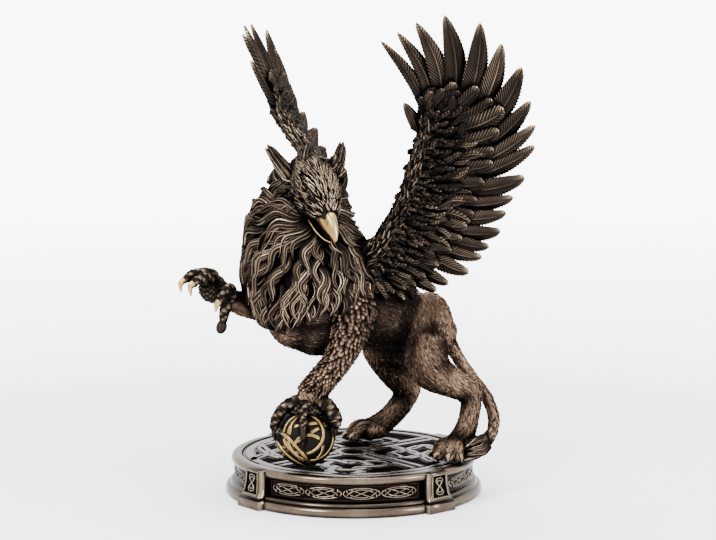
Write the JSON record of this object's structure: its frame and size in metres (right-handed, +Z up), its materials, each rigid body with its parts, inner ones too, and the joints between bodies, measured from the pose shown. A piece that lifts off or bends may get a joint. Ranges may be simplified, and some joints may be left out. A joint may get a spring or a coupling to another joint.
{
  "type": "griffin statue",
  "caption": "Bronze-finish griffin figure with raised wings and a clawed foot on an orb, standing on a round knotwork plinth.",
  "frame": {"origin": "centre of the plinth's underside", "axes": "+Z up; -Y toward the front, the side the griffin's head and orb face; +X toward the haunches and tail"},
  "size_m": [0.185, 0.1717, 0.2566],
  "materials": {
    "dark_bronze": "dark bronze patina with pale rubbed ridges",
    "orb_gold": "gold bands over a dark ground",
    "plinth_bronze": "satin polished dark bronze"
  },
  "bodies": {
    "root": {"griffin": "dark_bronze", "orb": "orb_gold", "plinth": "plinth_bronze"}
  },
  "joints": []
}
